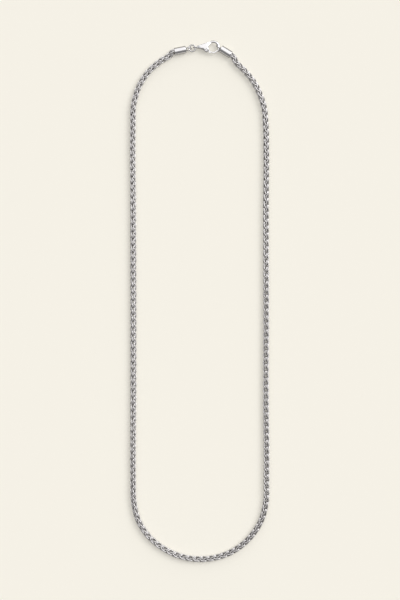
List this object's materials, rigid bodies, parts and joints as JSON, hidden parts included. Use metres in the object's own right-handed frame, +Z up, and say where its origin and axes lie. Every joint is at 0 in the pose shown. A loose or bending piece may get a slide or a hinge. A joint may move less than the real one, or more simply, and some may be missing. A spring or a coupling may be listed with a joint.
{
  "type": "wheat chain necklace with lobster clasp",
  "caption": "Silver wheat chain necklace lying closed as a long loop: round woven chain, end caps with eyes, jump ring and lobster clasp with a sprung lever.",
  "frame": {"origin": "middle of the loop's box, on the surface that the necklace lies on", "axes": "+Z up from the surface, +Y along the loop towards the clasp, +X to the right as seen from above"},
  "size_m": [0.0593, 0.2211, 0.0031],
  "materials": {
    "chain_silver": "polished silver, darker between the links",
    "polished_silver": "polished silver"
  },
  "bodies": {
    "necklace": {"chain_left": "chain_silver", "chain_right": "chain_silver", "end_cap_left": "polished_silver", "end_cap_right": "polished_silver", "jump_ring": "polished_silver", "clasp_body": "polished_silver", "lever_rivet": "polished_silver"},
    "lever": {"clasp_lever": "polished_silver"}
  },
  "joints": [
    {"name": "lever_pivot", "type": "hinge", "parent": "necklace", "child": "lever", "pos_m": [0.00294, 0.1065, 0.00155], "axis": [0, 0, 1], "range_deg": [0, 18], "stiffness_Nm_per_rad": 0.0002, "springref_deg": -34.38}
  ]
}
